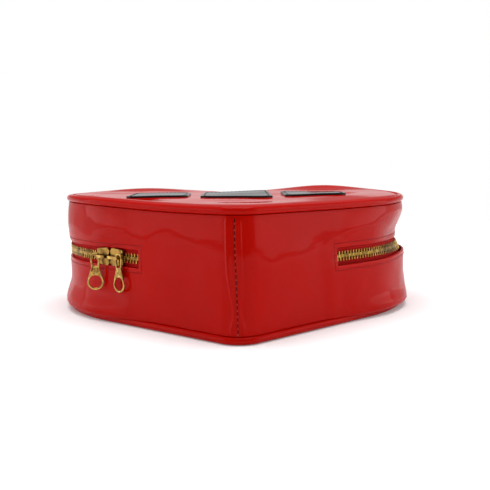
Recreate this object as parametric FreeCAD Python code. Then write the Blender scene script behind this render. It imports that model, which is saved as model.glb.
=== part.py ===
"""Heart-shaped zipped purse in patent leather, lying on its back panel.

Millimetres. +Z is up, away from the floor. The heart's tip points along -Y and its two lobes lie
towards +Y. The origin is on the floor, under the middle of the purse.
"""

import FreeCAD, Part
import math
import os

V = FreeCAD.Vector

# Outline of the side wall, seen from above
HALF_WIDTH = 112.0
TIP_RADIUS = 14.0
FLANK_ANGLE = 43.0
SHOULDER_RADIUS = 110.0
LOBE_RADIUS = 56.0
CLEFT_RADIUS = 11.0
THICKNESS = 69.0

# Leather, board and lining layers
LEATHER = 1.4
BOARD = 1.6
LINING = 0.6
LAYER_GAP = 0.1
SEAM_GAP = 0.2
PIPING_RADIUS = 2.1
PIPING_WRAP = 0.8
PIPING_PROUD = 1.2

# Zip: its height on the wall, the window cut for it, the tapes and the two rows of teeth
ZIP_HEIGHT = 38.5
WINDOW_HEIGHT = 10.0
WINDOW_FROM_TIP = 62.0
LINING_WINDOW_HEIGHT = 16.0
CUT_MARGIN = 4.0
TAPE_WIDTH = 13.0
TAPE_THICKNESS = 0.7
TAPE_LEAD = 10.0
TOOTH_PITCH = 2.6
TOOTH_WIDTH = 1.0
TOOTH_DEPTH = 2.6
TOOTH_HEAD = 0.95
TOOTH_NECK = 1.2
TOOTH_LEG = 1.7
TOOTH_SLOT_PLAY = 0.08
TAPE_EDGE_PLAY = 0.25
ROW_SPREAD = 1.7
SPREAD_FLAT = 6.4
SPREAD_RAMP = 4.0

# Slider: two plates, the rails that fold over the tapes and the wedge that parts the rows
SLIDER_LENGTH = 11.4
SLIDER_SHOULDER = 10.4
SLIDER_TAIL = 8.6
SHOULDER_SETBACK = 2.0
NOSE_WIDTH = 6.4
NOSE_NOTCH = 1.4
PLATE = 1.1
PLATE_CORNER = 0.8
RAIL = 0.9
RAIL_LENGTH = 3.6
WEDGE_WIDTH = 1.2
WEDGE_LENGTH = 2.6
SLIDER_PLAY = 0.35
LEATHER_PLAY = 0.25
NOSE_GAP = 0.4
SLIDERS_FROM_END = 30.25

# Crown: the strap on the outer plate that holds the pull
CROWN_LENGTH = 8.6
CROWN_WIDTH = 1.8
CROWN_STRAP = 0.9
CROWN_LEG = 0.9
CROWN_GAP = 2.6
CROWN_CORNER = 0.7

# Pull: arched stirrup, fluted neck and finger ring
PULL_THICKNESS = 1.0
PULL_HANG = 0.4
STIRRUP_WIDTH = 6.0
STIRRUP_BAR = 1.05
STIRRUP_DROP = 5.2
STIRRUP_CORNER = 0.7
NECK_WIDTH = 4.6
NECK_LENGTH = 5.6
RING_RADIUS = 4.9
RING_HOLE_RADIUS = 3.7
FLUTE_COUNT = 4
FLUTE_WIDTH = 0.4
FLUTE_DEPTH = 0.25
FLUTE_LENGTH = 3.2
FRONT_PULL_TWIST = 0.0
REAR_PULL_TWIST = 45.0

# Fold across the front panel, where the mouth bends open, and the front's rise from there to the lobes
FOLD_LEAD = 2.0
FOLD_GAP = 0.3
LOBE_LIFT = 4.2

# Row of rounded patches sewn on the front panel
PATCH_FROM_TIP = 114.0
PATCH_LEATHER = 1.1
PATCH_GAP = 8.0
PATCH_CORNER = 7.0
MIDDLE_PATCH_WIDTH = 44.0
MIDDLE_PATCH_LENGTH = 66.0
SIDE_PATCH_WIDTH = 38.0
SIDE_PATCH_LENGTH = 50.0

# Values worked out from the sizes above
angle = math.radians(FLANK_ANGLE)
flank_length = (
    HALF_WIDTH - TIP_RADIUS * math.sin(angle) - SHOULDER_RADIUS * (1 - math.sin(angle))
) / math.cos(angle)
flank_start = TIP_RADIUS * (1 - math.cos(angle))
widest_from_tip = flank_start + flank_length * math.sin(angle) + SHOULDER_RADIUS * math.cos(angle)
tip_y = -(widest_from_tip + LOBE_RADIUS) / 2
widest_y = tip_y + widest_from_tip
lobe_x = HALF_WIDTH - LOBE_RADIUS
shoulder_x = HALF_WIDTH - SHOULDER_RADIUS
inner_lobe_y = widest_y + LOBE_RADIUS - lobe_x
cleft_rise = math.sqrt((lobe_x + CLEFT_RADIUS) ** 2 - lobe_x**2)
cleft_angle = math.degrees(math.atan2(cleft_rise, lobe_x))
far = 2 * (HALF_WIDTH + widest_from_tip + THICKNESS)

piping_inset = PIPING_RADIUS - PIPING_PROUD
panel_inset = piping_inset + PIPING_RADIUS + LAYER_GAP
wall_bottom = 2 * PIPING_RADIUS + LAYER_GAP
wall_top = THICKNESS - wall_bottom
tape_inset = LEATHER + LAYER_GAP
chain_inset = tape_inset + TAPE_THICKNESS / 2
lining_inset = tape_inset + TAPE_THICKNESS + LAYER_GAP
board_inset = lining_inset + LINING + LAYER_GAP
window_y = tip_y + flank_start + WINDOW_FROM_TIP * math.sin(angle)
fold_y = window_y + LEATHER * math.cos(angle) + FOLD_LEAD
hinge_y = fold_y + FOLD_GAP / 2
front_slope = math.degrees(math.atan2(LOBE_LIFT, widest_y + LOBE_RADIUS - hinge_y))


# Small tools
def polar(centre, radius, degrees):
    """The point of a circle in plan at an angle from +X."""
    turn = math.radians(degrees)
    return V(centre.x + radius * math.cos(turn), centre.y + radius * math.sin(turn), 0)


def arc(centre, radius, start, end):
    """An arc in plan between two angles in degrees."""
    points = [polar(centre, radius, degrees) for degrees in (start, (start + end) / 2, end)]
    return Part.Arc(*points).toShape()


def raised(edges, z0, z1):
    """A closed outline in plan, raised from z0 to z1."""
    face = Part.Face(Part.Wire(Part.__sortEdges__(edges)))
    face.translate(V(0, 0, z0))
    return face.extrude(V(0, 0, z1 - z0))


def block(x0, x1, y0, y1, z0, z1):
    """A box between two corners."""
    return Part.makeBox(x1 - x0, y1 - y0, z1 - z0, V(x0, y0, z0))


def polygon_plate(points, thickness):
    """A flat plate on straight sides, its corners given as (x, z), with its inner face at y = 0."""
    corners = [V(x, 0, z) for x, z in points]
    return Part.Face(Part.makePolygon(corners + corners[:1])).extrude(V(0, thickness, 0))


def edges_along(shape, direction):
    """The straight edges of a shape that run along a direction."""
    return [
        edge
        for edge in shape.Edges
        if isinstance(edge.Curve, Part.Line)
        and abs(edge.tangentAt(edge.FirstParameter).dot(direction)) > 0.99
    ]


def lifted(shape):
    """A piece drawn on a level front, turned up about the fold to the front's slope."""
    sloped = shape.copy()
    sloped.rotate(V(0, hinge_y, THICKNESS), V(1, 0, 0), front_slope)
    return sloped


def export(name, shape):
    """Writes one piece of the purse."""
    shape.exportStep(os.path.join("parts", name + ".step"))


# Heart outline
def round_the_lobes(inset, from_tip):
    """Edges from the left flank round both lobes to the right flank, moved in from the wall by inset.

    They start and end at a distance from the tip rounding, measured along each flank.
    """
    below = 270 - FLANK_ANGLE
    left_shoulder = V(-shoulder_x, widest_y, 0)
    right_shoulder = V(shoulder_x, widest_y, 0)
    along_flank = V(-math.cos(angle), math.sin(angle), 0)
    tip = V(0, tip_y + TIP_RADIUS, 0)
    start = polar(tip, TIP_RADIUS - inset, below) + along_flank * from_tip
    flank_end = polar(left_shoulder, SHOULDER_RADIUS - inset, below)
    return [
        Part.makeLine(start, flank_end),
        arc(left_shoulder, SHOULDER_RADIUS - inset, below, 180),
        arc(V(-lobe_x, widest_y, 0), LOBE_RADIUS - inset, 180, 90),
        arc(V(-lobe_x, inner_lobe_y, 0), lobe_x - inset, 90, cleft_angle),
        arc(V(0, inner_lobe_y + cleft_rise, 0), CLEFT_RADIUS + inset, 180 + cleft_angle, 360 - cleft_angle),
        arc(V(lobe_x, inner_lobe_y, 0), lobe_x - inset, 180 - cleft_angle, 90),
        arc(V(lobe_x, widest_y, 0), LOBE_RADIUS - inset, 90, 0),
        arc(right_shoulder, SHOULDER_RADIUS - inset, 0, 180 - below),
        Part.makeLine(V(-flank_end.x, flank_end.y, 0), V(-start.x, start.y, 0)),
    ]


def heart(inset):
    """All edges of the closed heart, moved in from the wall by inset."""
    tip = V(0, tip_y + TIP_RADIUS, 0)
    tip_arc = arc(tip, TIP_RADIUS - inset, 270 + FLANK_ANGLE, 270 - FLANK_ANGLE)
    return round_the_lobes(inset, 0) + [tip_arc]


def heart_plate(inset, z0, z1):
    """A flat heart."""
    return raised(heart(inset), z0, z1)


def heart_wall(inset, thickness, z0, z1):
    """A wall that follows the heart."""
    return heart_plate(inset, z0, z1).cut(heart_plate(inset + thickness, z0, z1))


def zip_strip(inset, thickness, from_tip, z0, z1):
    """A strip that follows the zip round the lobes, open at the tip."""
    outside = round_the_lobes(inset, from_tip)
    inside = round_the_lobes(inset + thickness, from_tip)
    ends = [
        Part.makeLine(outside[0].Vertexes[0].Point, inside[0].Vertexes[0].Point),
        Part.makeLine(outside[-1].Vertexes[-1].Point, inside[-1].Vertexes[-1].Point),
    ]
    return raised(outside + inside + ends, z0, z1)


def heart_cord(inset, z, radius):
    """A round cord along the closed heart."""
    spans = []
    for edge in heart(inset):
        edge.translate(V(0, 0, z))
        start = edge.valueAt(edge.FirstParameter)
        heading = edge.tangentAt(edge.FirstParameter)
        section = Part.Face(Part.Wire(Part.makeCircle(radius, start, heading)))
        if isinstance(edge.Curve, Part.Line):
            spans.append(section.extrude(heading * edge.Length))
        else:
            centre = edge.Curve.Center
            swing = math.degrees(edge.Length / edge.Curve.Radius)
            upright = V(0, 0, math.copysign(1, (start - centre).cross(heading).z))
            spans.append(section.revolve(centre, upright, swing))
    return spans[0].multiFuse(spans[1:])


# Parts of space: the two sides of the tip seam and of the fold, all above the zip, and all over the wall
left_side = block(-far, -SEAM_GAP / 2, -far, far, -far, far)
right_side = block(SEAM_GAP / 2, far, -far, far, -far, far)
behind_fold = block(-far, far, fold_y + FOLD_GAP, far, -far, far)
before_fold = block(-far, far, -far, fold_y, -far, far)
above_zip = block(-far, far, fold_y, far, ZIP_HEIGHT, far)
over_tip = block(-far, far, -far, fold_y, wall_top, far)
over_lobes = lifted(block(-far, far, fold_y, far, wall_top, far))


def export_back_and_front(name, back):
    """Writes a back piece and its copy on the front, cut in two at the fold and sloped behind it."""
    export("back_" + name, back)
    front = back.mirror(V(0, 0, THICKNESS / 2), V(0, 0, 1))
    export("front_" + name, lifted(front.common(behind_fold)))
    export("front_" + name + "_tip", front.common(before_fold))


# Panels: leather, stiffening board and lining
def panels():
    board_z = LEATHER + LAYER_GAP
    lining_z = board_z + BOARD + LAYER_GAP
    export_back_and_front("panel", heart_plate(panel_inset, 0, LEATHER))
    export_back_and_front("board", heart_plate(board_inset, board_z, board_z + BOARD))
    export_back_and_front("lining", heart_plate(board_inset, lining_z, lining_z + LINING))


# Piping: a leather wrap on a cord, round both panels
def piping():
    bore_radius = PIPING_RADIUS - PIPING_WRAP
    outside = heart_cord(piping_inset, PIPING_RADIUS, PIPING_RADIUS)
    bore = heart_cord(piping_inset, PIPING_RADIUS, bore_radius)
    cord = heart_cord(piping_inset, PIPING_RADIUS, bore_radius - LAYER_GAP)
    export_back_and_front("piping", outside.cut(bore))
    export_back_and_front("piping_cord", cord)


# Side wall: leather and lining, each with a window for the zip
def wall_with_window(inset, thickness, window_height):
    wall = heart_wall(inset, thickness, wall_bottom, wall_top + LOBE_LIFT + CUT_MARGIN)
    window = zip_strip(
        inset - CUT_MARGIN,
        thickness + 2 * CUT_MARGIN,
        WINDOW_FROM_TIP,
        ZIP_HEIGHT - window_height / 2,
        ZIP_HEIGHT + window_height / 2,
    )
    return wall.cut(window).cut(over_tip).cut(over_lobes)


def side_walls():
    leather = wall_with_window(0, LEATHER, WINDOW_HEIGHT)
    lining = wall_with_window(lining_inset, LINING, LINING_WINDOW_HEIGHT)
    for name, wall in (("gusset", leather), ("gusset_lining", lining)):
        for side, half in (("left", left_side), ("right", right_side)):
            whole = wall.common(half)
            export(f"{name}_{side}", whole.cut(above_zip))
            export(f"upper_{name}_{side}", whole.common(above_zip).common(behind_fold))


# Stations along the zip, in millimetres from the window's end on the left flank
chain = round_the_lobes(chain_inset, WINDOW_FROM_TIP)
chain_length = sum(edge.Length for edge in chain)
rear_station = SLIDERS_FROM_END
meeting_station = rear_station - (SLIDER_LENGTH + NOSE_GAP) / 2
front_station = meeting_station - (SLIDER_LENGTH + NOSE_GAP) / 2


def frame_at(station):
    """A placement on the chain: x along it, y outwards, z up."""
    for edge in chain:
        if station <= edge.Length:
            break
        station -= edge.Length
    at = edge.getParameterByLength(station)
    heading = edge.tangentAt(at)
    turn = math.degrees(math.atan2(heading.y, heading.x))
    return FreeCAD.Placement(edge.valueAt(at) + V(0, 0, ZIP_HEIGHT), FreeCAD.Rotation(V(0, 0, 1), turn))


def spread(station):
    """How far a row stands off the middle, near the wedges that part the rows."""
    past_flat = abs(station - meeting_station) - SPREAD_FLAT / 2
    return ROW_SPREAD * min(1, max(0, 1 - past_flat / SPREAD_RAMP))


# Zip: tapes with their edges parted at the sliders, and two rows of forked teeth
def upper_tape():
    edge = TOOTH_NECK + TAPE_EDGE_PLAY
    tape = zip_strip(
        tape_inset,
        TAPE_THICKNESS,
        WINDOW_FROM_TIP - TAPE_LEAD,
        ZIP_HEIGHT + edge,
        ZIP_HEIGHT + TOOTH_NECK + TAPE_WIDTH,
    )
    flat = SPREAD_FLAT / 2
    ramp = flat + SPREAD_RAMP
    parting = [(-ramp, edge), (-flat, edge + ROW_SPREAD), (flat, edge + ROW_SPREAD), (ramp, edge)]
    notch = polygon_plate(parting, 2 * CUT_MARGIN)
    notch.translate(V(0, -CUT_MARGIN, 0))
    notch.Placement = frame_at(meeting_station) * notch.Placement
    return tape.cut(notch)


def tooth():
    """One upper tooth at the origin: a head across the middle and two legs that clamp the tape."""
    half = TOOTH_DEPTH / 2
    slot = TAPE_THICKNESS / 2 + TOOTH_SLOT_PLAY
    top = TOOTH_NECK + TOOTH_LEG
    outer_half = [(0, -TOOTH_HEAD), (half, -TOOTH_HEAD), (half, top), (slot, top), (slot, TOOTH_NECK)]
    inner_half = [(-y, z) for y, z in reversed(outer_half[1:])]
    points = [V(-TOOTH_WIDTH / 2, y, z) for y, z in outer_half[1:] + inner_half]
    return Part.Face(Part.makePolygon(points + points[:1])).extrude(V(TOOTH_WIDTH, 0, 0))


def row_of_teeth(offset, turn):
    """Teeth at an even pitch along the chain, started by a share of the pitch."""
    pattern = tooth()
    count = int((chain_length - TOOTH_WIDTH) / TOOTH_PITCH)
    slack = (chain_length - count * TOOTH_PITCH) / 2
    pieces = []
    for number in range(count):
        station = slack + (number + offset) * TOOTH_PITCH
        away = FreeCAD.Placement(V(0, 0, spread(station)), FreeCAD.Rotation())
        piece = pattern.copy()
        piece.Placement = frame_at(station) * FreeCAD.Placement(V(), turn) * away
        pieces.append(piece)
    return Part.makeCompound(pieces)


def zip_chain():
    tape = upper_tape()
    export("zip_tape_upper", tape)
    export("zip_tape_lower", tape.mirror(V(0, 0, ZIP_HEIGHT), V(0, 0, 1)))
    export("zip_teeth_upper", row_of_teeth(0.25, FreeCAD.Rotation()))
    export("zip_teeth_lower", row_of_teeth(0.75, FreeCAD.Rotation(V(1, 0, 0), 180)))


# Sliders, drawn with the nose at +x, y outwards from the middle of the tape and z across the chain
outer_plate_y = chain_inset + LEATHER_PLAY
crown_y = outer_plate_y + PLATE
inner_plate_y = -TOOTH_DEPTH / 2 - SLIDER_PLAY - PLATE


def slider_plate(shoulder, y):
    """A shield with broad shoulders, a notched nose and a narrower tail."""
    nose = SLIDER_LENGTH / 2
    side = [
        (nose, NOSE_WIDTH / 2),
        (nose - SHOULDER_SETBACK, shoulder / 2),
        (-nose, SLIDER_TAIL / 2),
    ]
    notch = [(nose - NOSE_NOTCH, 0)]
    plate = polygon_plate(notch + side + [(x, -z) for x, z in reversed(side)], PLATE)
    corners = [
        edge for edge in edges_along(plate, V(0, 1, 0)) if abs(edge.CenterOfMass.z) > WEDGE_WIDTH / 2
    ]
    plate = plate.makeFillet(PLATE_CORNER, corners)
    plate.translate(V(0, y, 0))
    return plate


def slider_body():
    tail = -SLIDER_LENGTH / 2
    tape_face = TAPE_THICKNESS / 2 + SLIDER_PLAY
    inner_face = inner_plate_y + PLATE
    rails = [
        block(tail + PLATE_CORNER, tail + PLATE_CORNER + RAIL_LENGTH, y0, y1, z, z + RAIL)
        for y0, y1 in ((tape_face, outer_plate_y), (inner_face, -tape_face))
        for z in (SLIDER_TAIL / 2 - RAIL, -SLIDER_TAIL / 2)
    ]
    front = SLIDER_LENGTH / 2 - NOSE_NOTCH
    middle = front - WEDGE_LENGTH / 2
    half = WEDGE_WIDTH / 2
    diamond = [(front, 0), (middle, half), (front - WEDGE_LENGTH, 0), (middle, -half)]
    wedge = polygon_plate(diamond, outer_plate_y - inner_face)
    wedge.translate(V(0, inner_face, 0))
    outer = slider_plate(SLIDER_SHOULDER, outer_plate_y)
    inner = slider_plate(SLIDER_TAIL, inner_plate_y)
    return outer.multiFuse([inner, wedge] + rails).removeSplitter()


def crown():
    """A strap on two legs, along the slider, standing on its outer plate."""
    half = CROWN_LENGTH / 2
    inside = half - CROWN_LEG
    top = CROWN_GAP + CROWN_STRAP
    strap = block(-half, half, 0, top, -CROWN_WIDTH / 2, CROWN_WIDTH / 2)
    arch = strap.cut(block(-inside, inside, 0, CROWN_GAP, -CROWN_WIDTH / 2, CROWN_WIDTH / 2))
    ends = [
        edge
        for edge in edges_along(arch, V(0, 0, 1))
        if edge.CenterOfMass.y > CROWN_GAP and abs(edge.CenterOfMass.x) > inside
    ]
    return arch.makeFillet(CROWN_CORNER, ends)


def arched(half_width, arch_z, foot_half_width, foot_z):
    """The upper part of an outline in (x, z): a foot, a sloped side, a half round and a sloped side."""
    ends = [V(-half_width, 0, arch_z), V(half_width, 0, arch_z)]
    feet = [V(-foot_half_width, 0, foot_z), V(foot_half_width, 0, foot_z)]
    crest = V(0, 0, arch_z + half_width)
    return [
        Part.makeLine(feet[0], ends[0]),
        Part.Arc(ends[0], crest, ends[1]).toShape(),
        Part.makeLine(ends[1], feet[1]),
    ]


def pull():
    """A pull in the x-z plane, with the crown's leg at the origin in its stirrup."""
    eye_bottom = -PULL_HANG - STIRRUP_DROP
    ring_z = eye_bottom - NECK_LENGTH - RING_HOLE_RADIUS
    half = STIRRUP_WIDTH / 2
    neck = NECK_WIDTH / 2
    ring_sides = [V(RING_RADIUS, 0, ring_z), V(-RING_RADIUS, 0, ring_z)]
    ring_bottom = V(0, 0, ring_z - RING_RADIUS)
    outline = arched(half, -PULL_HANG, neck, eye_bottom - STIRRUP_BAR)
    outline += [
        Part.makeLine(V(neck, 0, eye_bottom - STIRRUP_BAR), ring_sides[0]),
        Part.Arc(ring_sides[0], ring_bottom, ring_sides[1]).toShape(),
        Part.makeLine(ring_sides[1], V(-neck, 0, eye_bottom - STIRRUP_BAR)),
    ]
    eye_foot = neck - STIRRUP_BAR
    eye = arched(half - STIRRUP_BAR, -PULL_HANG, eye_foot, eye_bottom)
    eye.append(Part.makeLine(V(eye_foot, 0, eye_bottom), V(-eye_foot, 0, eye_bottom)))
    thick = V(0, PULL_THICKNESS, 0)
    tab, opening = [
        Part.Face(Part.Wire(Part.__sortEdges__(edges))).extrude(thick) for edges in (outline, eye)
    ]
    feet = [
        edge
        for edge in edges_along(opening, V(0, 1, 0))
        if edge.CenterOfMass.z < eye_bottom + STIRRUP_BAR
    ]
    opening = opening.makeFillet(min(STIRRUP_CORNER, eye_foot / 2), feet)
    hole = Part.makeCylinder(RING_HOLE_RADIUS, PULL_THICKNESS, V(0, 0, ring_z), V(0, 1, 0))
    flute_top = eye_bottom - STIRRUP_BAR
    step = (NECK_WIDTH - STIRRUP_BAR) / FLUTE_COUNT
    flutes = [
        block(
            step * (number - (FLUTE_COUNT - 1) / 2) - FLUTE_WIDTH / 2,
            step * (number - (FLUTE_COUNT - 1) / 2) + FLUTE_WIDTH / 2,
            PULL_THICKNESS - FLUTE_DEPTH,
            PULL_THICKNESS,
            flute_top - FLUTE_LENGTH,
            flute_top,
        )
        for number in range(FLUTE_COUNT)
    ]
    tab = tab.cut(opening.multiFuse([hole] + flutes))
    tab.translate(-thick / 2)
    return tab


def pull_place(end, twist):
    """Where a pull hangs on a crown: its eye round the leg at one end, and its inner bar under the strap."""
    leg = end * (CROWN_LENGTH - CROWN_LEG) / 2
    bar = (STIRRUP_WIDTH - STIRRUP_BAR) / 2
    stand = crown_y + CROWN_GAP / 2 + bar * math.sin(math.radians(abs(twist)))
    return FreeCAD.Placement(V(leg, stand, 0), FreeCAD.Rotation(V(0, 0, 1), twist))


front_frame = frame_at(front_station)
rear_frame = frame_at(rear_station)
front_pull_frame = front_frame * pull_place(-1, FRONT_PULL_TWIST)
rear_pull_frame = rear_frame * pull_place(1, REAR_PULL_TWIST)


def sliders():
    body = slider_body()
    strap = crown()
    tab = pull()
    turned = FreeCAD.Placement(V(), FreeCAD.Rotation(V(0, 1, 0), 180))
    on_plate = FreeCAD.Placement(V(0, crown_y, 0), FreeCAD.Rotation())
    places = {
        "slider_front_body": (body, front_frame),
        "slider_rear_body": (body, rear_frame * turned),
        "slider_front_crown": (strap, front_frame * on_plate),
        "slider_rear_crown": (strap, rear_frame * on_plate),
        "pull_front": (tab, front_pull_frame),
        "pull_rear": (tab, rear_pull_frame),
    }
    for name, (shape, place) in places.items():
        piece = shape.copy()
        piece.Placement = place * piece.Placement
        export(name, piece)


# Patches in a row across the front panel
def sewn_patch(width, length, x):
    y = tip_y + PATCH_FROM_TIP
    points = [
        V(x - width / 2, y - length / 2, 0),
        V(x + width / 2, y - length / 2, 0),
        V(x + width / 2, y + length / 2, 0),
        V(x - width / 2, y + length / 2, 0),
    ]
    sides = [Part.makeLine(points[number - 1], points[number]) for number in range(len(points))]
    blank = raised(sides, THICKNESS, THICKNESS + PATCH_LEATHER)
    return lifted(blank.makeFillet(PATCH_CORNER, edges_along(blank, V(0, 0, 1))))


def patches():
    beside = (MIDDLE_PATCH_WIDTH + SIDE_PATCH_WIDTH) / 2 + PATCH_GAP
    export("patch_middle", sewn_patch(MIDDLE_PATCH_WIDTH, MIDDLE_PATCH_LENGTH, 0))
    export("patch_left", sewn_patch(SIDE_PATCH_WIDTH, SIDE_PATCH_LENGTH, -beside))
    export("patch_right", sewn_patch(SIDE_PATCH_WIDTH, SIDE_PATCH_LENGTH, beside))


os.makedirs("parts", exist_ok=True)
panels()
piping()
side_walls()
zip_chain()
sliders()
patches()
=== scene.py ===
import bmesh
import bpy
import math
from mathutils import Matrix, Vector, noise


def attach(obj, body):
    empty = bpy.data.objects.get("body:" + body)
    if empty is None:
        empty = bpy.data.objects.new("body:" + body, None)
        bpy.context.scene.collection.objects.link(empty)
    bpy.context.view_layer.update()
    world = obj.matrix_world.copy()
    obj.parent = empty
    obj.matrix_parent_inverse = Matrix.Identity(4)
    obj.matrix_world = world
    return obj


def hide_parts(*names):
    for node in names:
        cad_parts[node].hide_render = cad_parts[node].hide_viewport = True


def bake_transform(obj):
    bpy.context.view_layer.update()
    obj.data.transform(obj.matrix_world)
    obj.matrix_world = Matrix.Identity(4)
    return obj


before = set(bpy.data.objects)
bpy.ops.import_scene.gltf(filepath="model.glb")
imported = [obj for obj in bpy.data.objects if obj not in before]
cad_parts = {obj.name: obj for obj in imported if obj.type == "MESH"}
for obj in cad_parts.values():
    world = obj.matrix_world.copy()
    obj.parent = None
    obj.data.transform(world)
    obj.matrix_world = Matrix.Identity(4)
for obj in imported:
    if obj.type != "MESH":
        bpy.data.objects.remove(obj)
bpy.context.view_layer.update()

# Back panel: a heart of red patent leather that the purse lies on. It is cut in one piece, laid on a
# stiff board and sewn through the piping all round, so its edge dips into that seam.
HALF_WIDTH = 0.112
TIP_RADIUS = 0.014
FLANK_ANGLE = math.radians(43)
SHOULDER_RADIUS = 0.110
LOBE_RADIUS = 0.056
CLEFT_RADIUS = 0.011
PURSE_HEIGHT = 0.069
WINDOW_FROM_TIP = 0.062
PANEL_THICKNESS = 0.0013
SHEET_GRID = 0.006
GRID_LINES = 18

flank_sin = math.sin(FLANK_ANGLE)
flank_cos = math.cos(FLANK_ANGLE)
flank = (HALF_WIDTH - TIP_RADIUS * flank_sin - SHOULDER_RADIUS * (1 - flank_sin)) / flank_cos
tip_to_widest = TIP_RADIUS * (1 - flank_cos) + flank * flank_sin + SHOULDER_RADIUS * flank_cos
tip_y = -(tip_to_widest + LOBE_RADIUS) / 2
widest_y = tip_y + tip_to_widest
lobe_x = HALF_WIDTH - LOBE_RADIUS
cleft_rise = math.sqrt((LOBE_RADIUS + CLEFT_RADIUS) ** 2 - lobe_x**2)
cleft_angle = math.atan2(cleft_rise, lobe_x)
tip_centre = Vector((0, tip_y + TIP_RADIUS, 0))
shoulder_centre = Vector((SHOULDER_RADIUS - HALF_WIDTH, widest_y, 0))
lobe_centre = Vector((-lobe_x, widest_y, 0))
cleft_centre = Vector((0, widest_y + cleft_rise, 0))
up_flank = Vector((-flank_cos, flank_sin, 0))
off_flank = Vector((-flank_sin, -flank_cos, 0))

tip_arc = TIP_RADIUS * FLANK_ANGLE
flank_end = tip_arc + flank
shoulder_end = flank_end + SHOULDER_RADIUS * (math.pi / 2 - FLANK_ANGLE)
lobe_end = shoulder_end + LOBE_RADIUS * (math.pi - cleft_angle)
wall_half = lobe_end + CLEFT_RADIUS * (math.pi / 2 - cleft_angle)
window_start = tip_arc + WINDOW_FROM_TIP

heart_runs = (
    (tip_centre, -FLANK_ANGLE, 0, 28),
    (tip_centre, 0, WINDOW_FROM_TIP, 40),
    (tip_centre, 0, flank - WINDOW_FROM_TIP, 14),
    (shoulder_centre, FLANK_ANGLE - math.pi / 2, 0, 38),
    (lobe_centre, cleft_angle - math.pi, 0, 64),
    (cleft_centre, math.pi / 2 - cleft_angle, 0, 12),
)


def smooth(start, end, value):
    """Rises from 0 at start to 1 at end, level at both."""
    share = min(1, max(0, (value - start) / (end - start)))
    return share * share * (3 - 2 * share)


def place_on_wall(point):
    """How far round the wall a point is from the tip, its side, the way out there and its depth in."""
    side = -1 if point.x < 0 else 1
    left = Vector((-abs(point.x), point.y, 0))
    climb = (left - tip_centre).dot(up_flank)
    if climb < 0:
        spoke = left - tip_centre
        along = TIP_RADIUS * math.atan2(-spoke.x, -spoke.y)
        out = spoke.normalized()
        depth = TIP_RADIUS - spoke.length
    elif climb < flank:
        along = tip_arc + climb
        out = off_flank
        depth = TIP_RADIUS - (left - tip_centre).dot(off_flank)
    elif left.y < widest_y:
        spoke = left - shoulder_centre
        along = flank_end + SHOULDER_RADIUS * (math.atan2(-spoke.x, -spoke.y) - FLANK_ANGLE)
        out = spoke.normalized()
        depth = SHOULDER_RADIUS - spoke.length
    else:
        spoke = left - lobe_centre
        turned = math.pi - math.atan2(spoke.y, spoke.x)
        along = shoulder_end + LOBE_RADIUS * turned
        out = spoke.normalized()
        depth = LOBE_RADIUS - spoke.length
        if turned > math.pi - cleft_angle:
            spoke = cleft_centre - left
            along = wall_half - CLEFT_RADIUS * math.atan2(spoke.x, spoke.y)
            out = spoke.normalized()
            depth = spoke.length - CLEFT_RADIUS
    return along, side, Vector((-side * out.x, out.y, 0)), depth


def section_at_tip(bm, points):
    """A section as a chain of edges at the tip, its points given as depth in from the wall and height."""
    corners = [bm.verts.new((0, tip_y + depth, height)) for depth, height in points]
    lines = [bm.edges.new(pair) for pair in zip(corners, corners[1:])]
    return corners + lines


def carry_round_heart(bm, section):
    """Carries a section from the tip round the left half of the heart to the cleft, and mirrors it."""
    for centre, turn, length, steps in heart_runs:
        step = up_flank * (length / steps)
        swept = bmesh.ops.spin(
            bm, geom=section, cent=centre, axis=(0, 0, 1), dvec=step, angle=turn, steps=steps
        )
        section = swept["geom_last"]
    whole = bm.verts[:] + bm.edges[:] + bm.faces[:]
    bmesh.ops.mirror(bm, geom=whole, matrix=Matrix(), merge_dist=1e-5, axis="X")
    bmesh.ops.recalc_face_normals(bm, faces=bm.faces)


def cut_into_grid(bm, cells):
    """Cuts some of a sheet's faces along a square grid."""
    for across in (Vector((1, 0, 0)), Vector((0, 1, 0))):
        for number in range(-GRID_LINES, GRID_LINES + 1):
            edges = dict.fromkeys(edge for face in cells for edge in face.edges)
            corners = dict.fromkeys(corner for face in cells for corner in face.verts)
            cut = bmesh.ops.bisect_plane(
                bm,
                geom=[*cells, *edges, *corners],
                plane_co=across * (SHEET_GRID * (number + 0.5)),
                plane_no=across,
            )
            parts = dict.fromkeys(cut["geom"])
            cells = [part for part in parts if isinstance(part, bmesh.types.BMFace)]


def heart_sheet(section, facing):
    """A heart-shaped sheet: an edge band from a section, and a middle cut into a grid."""
    bm = bmesh.new()
    carry_round_heart(bm, section_at_tip(bm, section))
    inner_depth = section[-1][0]
    rim = [
        edge
        for edge in bm.edges
        if edge.is_boundary and abs(place_on_wall(edge.verts[0].co)[3] - inner_depth) < 1e-4
    ]
    cut_into_grid(bm, bmesh.ops.contextual_create(bm, geom=rim)["faces"])
    bmesh.ops.recalc_face_normals(bm, faces=bm.faces)
    if max(bm.faces, key=lambda face: face.calc_area()).normal.z * facing < 0:
        bmesh.ops.reverse_faces(bm, faces=bm.faces)
    return bm


def finish_piece(name, bm, material, sharp=50):
    """Makes the piece from its mesh, smooth but for edges over an angle in degrees."""
    mesh = bpy.data.meshes.new(name)
    bm.to_mesh(mesh)
    bm.free()
    mesh.materials.append(material)
    mesh.shade_smooth()
    mesh.set_sharp_from_angle(angle=math.radians(sharp))
    piece = bpy.data.objects.new(name, mesh)
    bpy.context.scene.collection.objects.link(piece)
    return piece


def new_material(name, inputs):
    """A material with its node tree and its shader, with the shader's plain values set."""
    material = bpy.data.materials.new(name)
    material.use_nodes = True
    shader = material.node_tree.nodes["Principled BSDF"]
    for socket, value in inputs.items():
        shader.inputs[socket].default_value = value
    return material, material.node_tree, shader


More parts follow.
